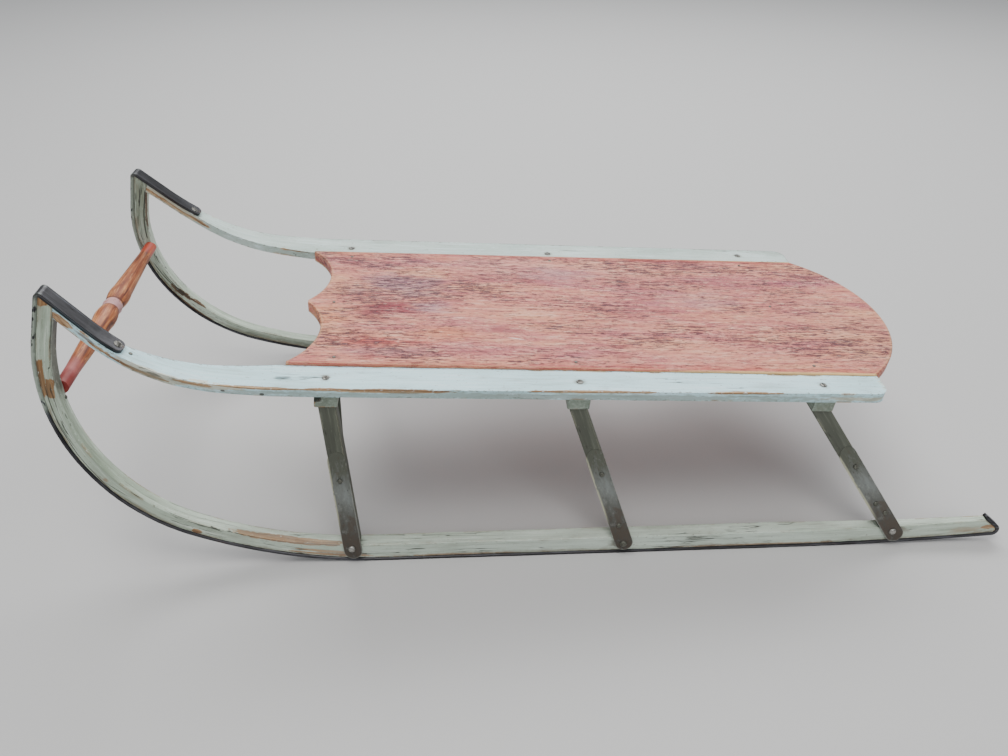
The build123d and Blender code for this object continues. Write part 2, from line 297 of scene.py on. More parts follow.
# Material making
def tone(red, green, blue):
    channels = []
    for byte in (red, green, blue):
        share = byte / 255
        channels.append(share / 12.92 if share < 0.04045 else ((share + 0.055) / 1.055) ** 2.4)
    return (*channels, 1)


def put(tree, kind, inputs=None, **settings):
    made = tree.nodes.new("ShaderNode" + kind)
    for name, value in settings.items():
        setattr(made, name, value)
    for key, value in (inputs or {}).items():
        if isinstance(value, bpy.types.NodeSocket):
            tree.links.new(value, made.inputs[key])
        else:
            made.inputs[key].default_value = value
    return made


def sums(operation, first, second=0):
    inputs = {0: first, 1: second}
    return put(first.id_data, "Math", inputs, operation=operation).outputs[0]


def larger(first, second):
    return sums("MAXIMUM", first, second)


def times(first, second):
    return sums("MULTIPLY", first, second)


def plus(first, second):
    return sums("ADD", first, second)


def unsigned(value):
    return sums("ABSOLUTE", value)


# Patterns added up, each by its own share
def weighed(*rows):
    parts = [times(value, share) for value, share in rows]
    whole = parts[0]
    for part in parts[1:]:
        whole = plus(whole, part)
    return whole


def axes(where):
    return put(where.id_data, "SeparateXYZ", {0: where}).outputs


def fade(value, low, high, least=0, most=1):
    return put(value.id_data, "MapRange", {
        "Value": value, "From Min": low, "From Max": high, "To Min": least, "To Max": most,
    }, interpolation_type="SMOOTHSTEP").outputs["Result"]


def cloud(where, scale, detail, rough, shift=(0, 0, 0)):
    tree = where.id_data
    placed = put(tree, "Mapping", {"Vector": where, "Location": shift, "Scale": scale})
    return put(tree, "TexNoise", {
        "Vector": placed.outputs[0], "Scale": 1, "Detail": detail, "Roughness": rough,
    }).outputs["Fac"]


def blend(amount, under, over):
    inputs = {0: amount, 6: under, 7: over}
    return put(amount.id_data, "Mix", inputs, data_type="RGBA").outputs[2]


# Colours of a look laid over each other in turn, each as far as its mask goes
def coats(colour, look, layers):
    for mask, name in layers:
        colour = blend(mask, colour, tone(*look[name]))
    return colour


def ramp(value, stops):
    made = put(value.id_data, "ValToRGB", {"Fac": value})
    elements = made.color_ramp.elements
    elements[0].position, elements[0].color = stops[0][0], tone(*stops[0][1])
    elements[1].position, elements[1].color = stops[-1][0], tone(*stops[-1][1])
    for place, colour in stops[1:-1]:
        elements.new(place).color = tone(*colour)
    return made.outputs["Color"]


def vectorSums(operation, first, second=(0, 0, 0)):
    return put(first.id_data, "VectorMath", {0: first, 1: second}, operation=operation).outputs


# High on a piece's own edges, and fading to nothing over the reach
def arris(where, reach):
    rounded = put(where.id_data, "Bevel", {"Radius": reach * mm}, samples=8)
    facing = put(where.id_data, "NewGeometry")
    same = vectorSums("DOT_PRODUCT", rounded.outputs["Normal"], facing.outputs["Normal"])
    return fade(same["Value"], 0.998, 0.86)


# A patch: its centre and half sizes in millimetres, how ragged its outline is, and its filling
def mark(at, half, ragged, tone=None, strength=1, soft=0.12, turn=0, square=False):
    return {"at": at, "half": half, "ragged": ragged, "tone": tone, "strength": strength,
            "soft": soft, "turn": math.radians(turn), "square": square}


def patchMask(where, ragged, patch):
    offset = vectorSums("SUBTRACT", where, [value * mm for value in patch["at"]])
    turned = put(where.id_data, "VectorRotate", {
        "Vector": offset[0], "Angle": patch["turn"]}, rotation_type="Z_AXIS")
    ratio = vectorSums("DIVIDE", turned.outputs[0], [value * mm for value in patch["half"]])[0]
    if patch["square"]:
        parts = axes(vectorSums("ABSOLUTE", ratio)[0])
        size = larger(larger(parts[0], parts[1]), parts[2])
    else:
        size = vectorSums("LENGTH", ratio)["Value"]
    size = plus(size, times(ragged, patch["ragged"]))
    return times(fade(size, 1, 1 - patch["soft"]), patch["strength"])


def stained(colour, where, ragged, patches):
    for patch in patches:
        colour = blend(patchMask(where, ragged, patch), colour, tone(*patch["tone"]))
    return colour


# Waves of a crack per metre, its dark core's share of the width, and how deep it goes into the face
crackShape = {"waves": 60, "core": 0.35, "deep": 2.4, "full": 1.2}


# A crack between two places on one face of a piece, wobbling as it goes
def crack(start, end, width, wobble, face=0, taper=8, broken=0):
    return {"ends": (start, end), "width": width, "wobble": wobble,
            "face": face, "taper": taper, "broken": broken}


def crackMask(where, line):
    along, inward, across = axes(where)
    (startAlong, startIn), (endAlong, endIn) = line["ends"]
    slope = (endIn - startIn) / (endAlong - startAlong)
    straight = plus(times(along, -slope), (slope * startAlong - startIn) * mm)
    wobble = cloud(where, (crackShape["waves"], 0, 0), 3, 0.6, (startAlong, 0, 0))
    bend = times(plus(wobble, -0.5), line["wobble"] * mm)
    away = unsigned(plus(plus(inward, straight), bend))
    width = line["width"] * mm
    core = fade(away, width, width * crackShape["core"])
    low, high = sorted((startAlong * mm, endAlong * mm))
    taper = line["taper"] * mm
    span = times(fade(along, low, low + taper), fade(along, high, high - taper))
    fromFace = unsigned(plus(across, -line["face"] * mm))
    near = fade(fromFace, crackShape["deep"] * mm, crackShape["full"] * mm)
    mask = times(times(core, span), near)
    if line["broken"]:
        gaps = cloud(where, (line["broken"], 0, 0), 2, 0.5, (3.3, 0, 0))
        mask = times(mask, fade(gaps, 0.46, 0.54))
    return mask


# A new material, with its shader and the coordinates that its patterns follow
def freshMaterial(name, source):
    material = bpy.data.materials.new(name)
    material.use_nodes = True
    tree = material.node_tree
    if source == "grain":
        where = put(tree, "Attribute", attribute_name="grain").outputs["Vector"]
    else:
        where = put(tree, "TexCoord").outputs["Object"]
    return material, tree.nodes["Principled BSDF"], where


def wireShader(shader, colour, roughness, height, depth, strength):
    bump = put(shader.id_data, "Bump", {
        "Height": height, "Distance": depth * mm, "Strength": strength})
    links = shader.id_data.links
    links.new(colour, shader.inputs["Base Color"])
    links.new(roughness, shader.inputs["Roughness"])
    links.new(bump.outputs["Normal"], shader.inputs["Normal"])


# Old paint on wood: brush marks, drifting colour, worn arrises, flakes, stains and hairline cracks
def paintedWood(name, look):
    material, shader, where = freshMaterial(name, look["coordinates"])
    seed = look["seed"]

    def pattern(along, across, detail, rough, shift):
        scale = [across, across, across]
        scale[look["grainAxis"]] = along
        return cloud(where, scale, detail, rough, shift)

    fibre = pattern(9, 520, 6, 0.62, (seed, 1, 2))
    drift = pattern(7, 34, 4, 0.6, (3, seed, 2))
    brush = pattern(13, 300, 7, 0.74, (1, 5, seed))
    speck = pattern(130, 300, 7, 0.74, (seed, 2, 9))
    colour = coats(ramp(drift, look["paint"]), look, [
        (fade(brush, 0.5, 0.66, 0, look["brush"]), "brushTone"),
        (fade(brush, 0.49, 0.33, 0, look["brush"]), "brushDark"),
        (fade(speck, 0.6, 0.7, 0, look["speck"]), "speckTone"),
    ])

    # where paint and primer are gone
    ragged = plus(pattern(75, 240, 8, 0.68, (7, 7, seed)), -0.5)
    patchy = pattern(look["edgePatch"], look["edgePatch"], 3, 0.6, (seed, 8, 4))
    edge = arris(where, look["edgeReach"])
    edgeKept = fade(patchy, look["edgeFrom"], look["edgeFrom"] + 0.16)
    edgeWorn = plus(times(edge, edgeKept), times(ragged, 1.1))
    flakes = pattern(36, 170, 9, 0.72, (seed, 11, 3))
    worn = larger(fade(edgeWorn, 0.5, 0.6), fade(flakes, look["flakes"], look["flakes"] + 0.02))
    primer = larger(fade(edgeWorn, 0.3, 0.46), fade(flakes, look["flakes"] - 0.04, look["flakes"]))
    for patch in look["barePatches"]:
        mask = patchMask(where, ragged, patch)
        worn = larger(worn, mask)
        primer = larger(primer, mask)
    for patch in look["primerPatches"]:
        primer = larger(primer, patchMask(where, ragged, patch))
    colour = coats(colour, look, [(times(primer, look["primer"]), "primerTone")])
    colour = blend(worn, colour, ramp(fibre, look["wood"]))
    colour = stained(colour, where, ragged, look["stains"])

    ridge = unsigned(plus(pattern(6, 150, 3, 0.5, (5, seed, 1)), -0.5))
    often = pattern(16, 60, 2, 0.5, (9, 2, seed))
    hairlines = fade(often, look["cracksFrom"], look["cracksFrom"] + 0.08)
    cracks = times(fade(ridge, 0.01, 0.003), hairlines)
    for line in look["cracks"]:
        cracks = larger(cracks, crackMask(where, line))
    grime = pattern(12, 45, 5, 0.65, (2, 13, seed))
    colour = coats(colour, look, [(fade(grime, 0.5, 0.78, 0, look["grime"]), "grimeTone")])
    if look["soleGrime"]:
        low = plus(axes(where)[1], times(ragged, 0.012))
        kept = fade(cloud(where, (18, 160, 160), 5, 0.65, (4, seed, 6)), 0.38, 0.58)
        dirty = times(fade(low, 5.5 * mm, 0.5 * mm, 0, look["soleGrime"]), kept)
        colour = coats(colour, look, [(dirty, "soleTone")])
    pits = pattern(240, 620, 3, 0.6, (8, seed, 5))
    colour = coats(colour, look, [
        (fade(plus(pits, times(edge, look["edgeDirt"])), 0.66, 0.71, 0, 0.8), "grimeTone"),
        (fade(plus(pits, times(edge, -0.06)), 0.34, 0.29, 0, 0.6), "brushTone"),
        (times(cracks, 0.92), "crackTone"),
    ])

    roughness = fade(brush, 0.3, 0.7, look["gloss"], look["gloss"] + 0.14)
    roughness = larger(roughness, times(worn, 0.74))
    height = weighed((worn, -0.5), (brush, 0.22), (cracks, -1.4), (times(fibre, worn), 0.5))
    wireShader(shader, colour, roughness, height, 0.45, look["relief"])
    return material


runnerLook = {
    "paint": [(0.3, (150, 163, 143)), (0.5, (174, 187, 168)), (0.72, (194, 206, 189))],
    "brush": 0.65, "brushTone": (214, 223, 210), "brushDark": (118, 128, 108),
    "speck": 0.55, "speckTone": (112, 110, 92),
    "wood": [(0.3, (84, 58, 36)), (0.5, (144, 104, 64)), (0.7, (190, 152, 106))],
    "edgeReach": 4, "edgePatch": 30, "edgeFrom": 0.46,
    "flakes": 0.7, "primer": 0.55, "primerTone": (184, 172, 142),
    "grime": 0.5, "grimeTone": (104, 98, 78),
    "cracksFrom": 0.48, "crackTone": (38, 34, 28), "gloss": 0.34, "relief": 0.8,
    "soleGrime": 0.75, "soleTone": (116, 98, 76), "edgeDirt": 0.1,
    "coordinates": "grain", "grainAxis": 0,
    "barePatches": [], "primerPatches": [], "stains": [], "cracks": [],
}
# Places are along the runner from its tail, in from the sole, and across from the outer wall
nearRunnerLook = {
    **runnerLook, "seed": 0,
    "barePatches": [
        mark((1042, 2.2, 0), (20, 3.4, 3), 0.9, square=True),
        mark((1032, 8.2, 0), (10.5, 3.8, 2), 0.7, turn=-8, square=True),
        mark((1120, 3.5, 0), (7.5, 6.5, 4), 0.8),
        mark((735, 13.5, 3), (64, 2.4, 5), 1.6, turn=1.5),
        mark((700, 6.5, 0), (26, 1.6, 2), 1.8),
        mark((690, 2.8, 0), (46, 1.5, 2), 2),
        mark((826, 3, 0), (5, 3, 2), 1.6),
        mark((5, 8, 0), (9, 3, 3), 2.2),
        mark((560, 1.5, 0), (60, 1.3, 2), 2.2),
        mark((250, 1.5, 0), (90, 1.3, 2), 2.4),
    ],
    "stains": [
        mark((1044, 1.2, 0), (19, 2, 2), 1.6, (84, 60, 36), 0.5, soft=0.6),
        mark((926, 5, 0), (4, 3, 2), 1.4, (140, 92, 52), 0.6, soft=0.7),
        mark((676, 4, 0), (26, 2.4, 2), 2.6, (128, 84, 46), 0.8, soft=0.5),
        # Painted shade: the next three patches darken the hollow face of the front sweep and the
        # upper edge of the wall beside it; the near-black one also stands for black staining there
        mark((1076, 14.6, 11), (66, 3.6, 11), 0.8, (56, 57, 48), 0.84, soft=0.4, square=True),
        mark((1098, 14.2, 11), (40, 3.4, 10.4), 1.2, (22, 20, 18), 0.85, soft=0.5),
        mark((1088, 12.7, 0), (48, 1.7, 2), 1.3, (48, 48, 40), 0.8, soft=0.6),
        # Painted light: a broad pale wash that brightens the middle and rear of the runner against
        # its front sweep
        mark((400, 9, 6), (540, 20, 20), 0.6, (210, 220, 212), 0.5, soft=0.9),
        mark((398, 9, 0), (14, 7, 3), 2.6, (92, 76, 58), 0.65, soft=0.7),
        mark((102, 12, 0), (14, 6, 3), 2.6, (104, 84, 62), 0.6, soft=0.7),
        mark((30, 6, 0), (26, 5, 3), 2.4, (150, 116, 82), 0.55, soft=0.7),
    ],
    "cracks": [
        crack((1040, 4.6), (915, 1.6), 0.55, 1.6, taper=14),
        crack((930, 1.9), (893, 7.6), 0.35, 1.6, taper=12),
        crack((1020, 12.6), (893, 13.6), 0.5, 1.8, broken=150),
        crack((1012, 3.6), (962, 5), 0.3, 2, taper=12),
        crack((820, 12.4), (760, 12), 0.3, 1.6, broken=120),
    ],
}
farRunnerLook = {
    **runnerLook, "seed": 4.7,
    "wood": [(0.25, (56, 40, 28)), (0.5, (94, 68, 46)), (0.75, (134, 102, 72))],
    "barePatches": [
        mark((946, 8.5, 14.5), (17, 3.6, 5), 2, turn=6),
        mark((918, 12.5, 14.5), (24, 1.7, 5), 1.6, turn=7),
        mark((893, 15.6, 13), (22, 1.4, 5), 1.8, turn=4),
        mark((930, 1, 14.5), (50, 1.5, 4), 2.4),
        mark((1076, 12.6, 11), (34, 1.3, 4), 2),
    ],
    "stains": [
        mark((947, 8, 14.5), (13, 3, 5), 2.4, (48, 36, 26), 0.85, soft=0.5),
        mark((1070, 15, 7), (44, 3.6, 9), 1.2, (112, 110, 84), 0.6, soft=0.5),
        mark((800, 3.5, 14.5), (110, 7, 5), 1.4, (92, 96, 80), 0.55, soft=0.6),
        mark((1085, 7, 14.5), (60, 9, 5), 1.2, (98, 98, 76), 0.45, soft=0.7),
        mark((980, 5, 14.5), (40, 7, 5), 1.6, (96, 98, 80), 0.35, soft=0.6),
    ],
    "cracks": [
        crack((1106, 11.6), (1034, 9.8), 1, 1.2, face=14.5, taper=4),
        crack((1100, 13.4), (1040, 12.6), 0.7, 1.6, face=13.5),
        crack((1002, 4.2), (955, 7.8), 0.8, 2.6, face=14.5),
        crack((988, 8.4), (925, 10.2), 0.6, 2.6, face=14.5),
        crack((992, 2.2), (935, 3.8), 0.5, 2, face=14.5),
        crack((925, 6), (850, 9.5), 0.45, 2.2, face=14.5, broken=90),
    ],
}
plainWood = {**runnerLook, "soleGrime": 0, "cracksFrom": 0.58, "gloss": 0.44}
print("paint ready")


# Runners and their straps grow slimmer towards the tail, on the inside
tail = {"from": -240, "to": -467, "slim": 0.54, "outerKept": 0.5}


def slimTail(bm, reading):
    for vert in bm.verts:
        share = (tail["from"] - vert.co.x / mm) / (tail["from"] - tail["to"])
        if share > 0:
            across = reading(vert.co / mm)[2]
            inward = max(across - tail["outerKept"], 0) * tail["slim"] * min(share, 1)
            vert.co.y += math.copysign(inward * mm, vert.co.y)


def shapeBar(bm, cut, route, reading, seed):
    cutAlong(bm, route, cut["spacing"])
    roughen(bm, cut["sink"], cut["wearScale"], seed)
    layGrain(bm, reading)


# Runners, each bent in one sweep, with softened arrises
runnerCut = {"ease": 1.1, "segments": 2, "spacing": 9, "sink": 0.35, "wearScale": 55, "seed": 3}


def runnerReading(route):
    def reading(place):
        along, side = followRoute(place.x, place.z, route)
        wall = runnerWall["halfSpacing"] * runnerWall["out"]
        reach = runnerWall["toe"] * place.x + runnerWall["out"] * abs(place.y)
        return along, side, wall - (reach + runnerWall["lean"] * place.z)
    return reading


def addRunner(side, look):
    bm = copySolid("runner_" + side)
    easeEdges(bm, runnerCut["ease"], runnerCut["segments"])
    reading = runnerReading(runnerRoute)
    shapeBar(bm, runnerCut, runnerRoute, reading, sides[side] + runnerCut["seed"])
    slimTail(bm, reading)
    paint = paintedWood(titled("runnerPaint", side), look)
    finishPiece(bm, titled("runnerBar", side), ["runner_" + side], paint)


addRunner("left", nearRunnerLook)
addRunner("right", farRunnerLook)
print("runners done")


# Rails: a dark ring of dirt and painted shade, and a wider stain, lie round each screw
def screwDirtAndShade(at, half=(7, 3, 7), tone=(112, 110, 92), strength=0.7):
    return [mark(at, (4.5, 3, 4.5), 0.5, (64, 60, 50), 0.85, soft=0.3),
            mark(at, half, 1.8, tone, strength, soft=0.8)]


railLook = {
    **plainWood,
    "paint": [(0.3, (180, 214, 216)), (0.5, (195, 231, 237)), (0.72, (207, 238, 245))],
    "brush": 0.6, "brushTone": (226, 242, 247), "brushDark": (158, 184, 180),
    "speck": 0.42, "speckTone": (140, 144, 130),
    "wood": [(0.3, (92, 66, 44)), (0.48, (158, 120, 84)), (0.66, (212, 184, 146))],
    "edgeReach": 6, "edgePatch": 16, "edgeFrom": 0.5,
    "flakes": 0.76, "primer": 0.7, "primerTone": (206, 194, 164),
    "grime": 0.42, "grimeTone": (112, 112, 94),
    "cracksFrom": 0.6, "gloss": 0.4,
}
railCut = {"ease": 1.5, "segments": 3, "endEase": 3.2, "endSegments": 4, "endFrom": -318,
           "spacing": 10, "sink": 0.4, "wearScale": 48, "seed": 5}
# Places are along the rail from its rear end, down from the top, and in from the outer edge
nearRailLook = {
    **railLook, "seed": 0.6,
    "primerPatches": [
        mark((735, 4.4, 0), (76, 8, 3.4), 1.3),
        mark((655, 2.8, 0), (34, 3.2, 7), 1.8),
        mark((1, 5, 18), (5.5, 8, 22), 2.2, soft=0.6),
        mark((30, 6.5, 0), (50, 3, 4), 2.2, soft=0.6),
    ],
    "barePatches": [
        mark((782, 5, 8), (10, 5, 16), 1.6),
        mark((716, 6, 0), (36, 1.8, 8), 2),
        mark((748, 5, 0), (18, 2.6, 8), 2.2),
        mark((768, 7, 0), (16, 1.6, 8), 2.2),
        mark((664, 2.4, 0), (18, 2, 5), 1.8),
        mark((610, 0.5, 0), (46, 1.3, 3), 1),
        mark((548, 0.6, 0), (26, 1.2, 3), 1.2),
        mark((488, 1.6, 0), (56, 2.4, 3), 1.1),
        mark((300, 0.6, 0), (70, 1.3, 3), 1.5),
        mark((150, 0.6, 0), (40, 1.2, 3), 1.5),
    ],
    "stains": [
        mark((757, 3.4, 0), (12, 2.2, 30), 2, (96, 66, 40), 0.75, soft=0.5),
        mark((728, 5.2, 0), (22, 1.5, 30), 2.4, (112, 80, 50), 0.7, soft=0.5),
        mark((698, 3.4, 0), (9, 1.8, 30), 2.4, (70, 52, 36), 0.8, soft=0.4),
        # A long darker grey-green band along the outer side, just below the top
        mark((380, 6.8, 0), (440, 4.6, 2.6), 2.6, (132, 136, 120), 0.55, soft=0.5, square=True),
        mark((606, 7, 0), (2.5, 1.6, 4), 1.2, (50, 48, 42), 0.9),
        *screwDirtAndShade((550.6, 0, 18.2), tone=(118, 114, 98)),
        *screwDirtAndShade((309.8, 0, 15.7), half=(8, 3, 7), tone=(112, 110, 96)),
        *screwDirtAndShade((64.1, 0, 14.5), tone=(122, 118, 102), strength=0.6),
        mark((640, 6, 0), (2.2, 1.2, 4), 1.2, (60, 54, 46), 0.9),
    ],
}
farRailLook = {
    **railLook, "seed": 6.3, "edgeFrom": 0.54,
    "paint": [(0.3, (172, 188, 178)), (0.5, (188, 203, 195)), (0.72, (202, 215, 208))],
    "primerPatches": [
        mark((735, 4, 37), (46, 4, 14), 1.8),
        mark((762, 5, 15), (48, 5, 40), 1.6),
    ],
    "stains": [
        *screwDirtAndShade((548.2, 0, 23.2)),
        *screwDirtAndShade((309.7, 0, 23.7)),
        *screwDirtAndShade((63.7, 0, 15.4)),
    ],
    "barePatches": [
        mark((764, 6, 15), (36, 1.7, 40), 2),
        mark((726, 5, 20), (16, 2, 14), 2.2),
        mark((712, 4, 37), (24, 2.6, 14), 2.2),
        mark((640, 1, 37), (50, 1.4, 5), 1.8),
    ],
}


def railReading(place):
    along, side = followRoute(place.x, place.z, railRoute)
    return along, -side, railOuterHalf - abs(place.y)


def addRail(side, look):
    bm = copySolid("rail_" + side)

    def atRearEnd(edge):
        return max(vert.co.x for vert in edge.verts) < railCut["endFrom"] * mm

    easeEdges(bm, railCut["endEase"], railCut["endSegments"], atRearEnd)
    easeEdges(bm, railCut["ease"], railCut["segments"])
    shapeBar(bm, railCut, railRoute, railReading, sides[side] + railCut["seed"])
    paint = paintedWood(titled("railPaint", side), look)
    finishPiece(bm, titled("railStrip", side), ["rail_" + side], paint)


addRail("left", nearRailLook)
addRail("right", farRailLook)
print("rails done")


# Iron shoes: half-round strap, dark and satin, with paint slopped over its sides at the front
shoeCut = {"crown": 2.9, "segments": 4, "outerFrom": -2.6, "acrossFrom": 6,
           "spacing": 12, "sink": 0.15, "wearScale": 60, "seed": 9}
shoeLook = {
    "iron": [(0.25, (38, 37, 38)), (0.5, (56, 55, 57)), (0.75, (84, 84, 88))],
    "rust": (86, 56, 36),
    "pit": (34, 32, 34),
    "bright": (150, 154, 164),
    "paint": (150, 160, 146),
    "paintAlong": (1004, 1114), "paintEnds": (14, 8), "paintRim": 3.2, "rimSoft": 0.9,
    "metal": 0.65,
}


def ironShoe(name, look):
    material, shader, where = freshMaterial(name, "grain")
    tarnish = cloud(where, (30, 160, 160), 6, 0.65)
    pits = cloud(where, (260, 520, 520), 6, 0.7, (4, 1, 1))
    rusty = cloud(where, (22, 70, 70), 8, 0.7, (1, 6, 2))
    drawnAndSheen = cloud(where, (10, 700, 700), 4, 0.6, (8, 2, 2))
    rust = fade(rusty, 0.6, 0.7, 0, 0.75)
    along, _, across = axes(where)
    (start, end), (startSoft, endSoft) = look["paintAlong"], look["paintEnds"]
    span = times(fade(along, start * mm, (start + startSoft) * mm),
                 fade(along, (end + endSoft) * mm, end * mm))
    width, reach, soft = runnerWall["width"], look["paintRim"], look["rimSoft"]
    rim = larger(fade(across, reach * mm, (reach - soft) * mm),
                 fade(across, (width - reach) * mm, (width - reach + soft) * mm))
    ragged = fade(cloud(where, (90, 200, 200), 6, 0.65, (2, 2, 7)), 0.62, 0.56)
    painted = times(times(span, rim), ragged)
    colour = coats(ramp(tarnish, look["iron"]), look, [
        # Bright streaks along the strap: drawing marks, with painted sheen laid on them
        (fade(drawnAndSheen, 0.55, 0.75, 0, 0.4), "bright"),
        (fade(pits, 0.62, 0.72, 0, 0.6), "pit"),
        (rust, "rust"),
        (painted, "paint"),
    ])
    metal = times(times(fade(rust, 0.5, 0), fade(painted, 0.6, 0.2)), look["metal"])
    shader.id_data.links.new(metal, shader.inputs["Metallic"])
    roughness = larger(fade(tarnish, 0.3, 0.7, 0.27, 0.44), times(larger(rust, painted), 0.62))
    wireShader(shader, colour, roughness, weighed((pits, 0.5), (drawnAndSheen, 0.4)), 0.3, 0.6)
    return material


def addShoe(side):
    bm = copySolid("shoe_" + side)

    def onCrown(edge):
        low, high = (vert.co / mm for vert in edge.verts)
        lowSide = followRoute(low.x, low.z, strapRoute)[1]
        highSide = followRoute(high.x, high.z, strapRoute)[1]
        across = abs(abs(low.y) - abs(high.y)) > shoeCut["acrossFrom"]
        return max(lowSide, highSide) < shoeCut["outerFrom"] and not across

    easeEdges(bm, shoeCut["crown"], shoeCut["segments"], onCrown)
    reading = runnerReading(strapRoute)
    shapeBar(bm, shoeCut, strapRoute, reading, sides[side] + shoeCut["seed"])
    slimTail(bm, reading)
    iron = ironShoe(titled("shoeIron", side), shoeLook)
    finishPiece(bm, titled("shoeStrap", side), ["shoe_" + side], iron)


for side in sides:
    addShoe(side)
print("shoes done")


# Deck board: crackled pink-red paint, rubbed through along its rim
deckLook = {
    "base": [(0.34, (220, 150, 114)), (0.45, (212, 132, 108)),
             (0.55, (203, 117, 108)), (0.66, (182, 98, 108))],
    "cream": (234, 190, 160),
    "crimson": (148, 44, 58),
    "streakDark": (140, 54, 62),
    "streakPale": (232, 184, 162),
    "fissure": (84, 42, 54),
    "grit": (92, 64, 88),
    "crackle": (110, 52, 62),
    "rim": (226, 186, 126),
    "rimRed": (186, 78, 62),
    "wood": [(0.3, (176, 126, 82)), (0.55, (210, 168, 122)), (0.8, (230, 198, 156))],
    "patches": [
        mark((234, 34, 194), (34, 34, 30), 2, (216, 134, 84), 0.75),
        mark((110, 58, 188), (50, 20, 30), 2.4, (214, 128, 80), 0.65),
        mark((226, -44, 194), (26, 40, 30), 2.2, (220, 156, 116), 0.5),
        mark((108, -102, 188), (30, 12, 30), 2.2, (210, 120, 84), 0.6),
        mark((-40, 30, 178), (60, 18, 30), 2.4, (216, 138, 100), 0.4),
        mark((-343, 40, 160), (74, 90, 30), 2, (222, 160, 124), 0.45),
        mark((163, 12, 190), (44, 26, 30), 2.6, (142, 34, 48), 0.95),
        mark((180, 84, 190), (70, 30, 30), 2.2, (206, 92, 62), 0.5),
        mark((-150, 88, 172), (160, 26, 30), 2.4, (214, 140, 118), 0.35),
        mark((33.5, 65.5, 186), (12.5, 1.3, 30), 0.8, (240, 226, 212), 0.9, turn=12.3),
        mark((170, 74, 190), (50, 11, 30), 2.6, (176, 56, 50), 0.75),
        mark((48, 50, 184), (40, 11, 30), 2.6, (146, 50, 66), 0.7),
        mark((-90, 6, 176), (90, 12, 30), 3, (150, 50, 64), 0.6),
        mark((20, -86, 180), (230, 34, 30), 1.6, (226, 166, 150), 0.3),
        mark((-230, -60, 168), (90, 24, 30), 3, (156, 60, 76), 0.4),
        mark((30, -60, 184), (60, 12, 30), 2.8, (150, 56, 66), 0.35),
    ],
    "mauve": [
        mark((155, -40, 190), (70, 38, 30), 2.2, strength=0.85),
        mark((118, 8, 190), (30, 16, 30), 2.2, strength=0.85),
        mark((170, 92, 190), (80, 14, 30), 2.6, strength=0.5),
        mark((-30, -70, 178), (60, 24, 30), 2.6, strength=0.55),
        mark((-190, -20, 170), (70, 30, 30), 2.8, strength=0.4),
    ],
    "mauveTone": (166, 126, 138),
    "patchSoft": 0.9,
    "edgeReach": 7,
    "nailStains": [
        mark((213.3, 103.3, 194), (9, 4, 6), 2, (86, 56, 62), 0.6, soft=0.8),
        mark((-22.6, 105.5, 179), (7, 3.5, 6), 2, (86, 56, 62), 0.6, soft=0.8),
    ],
}


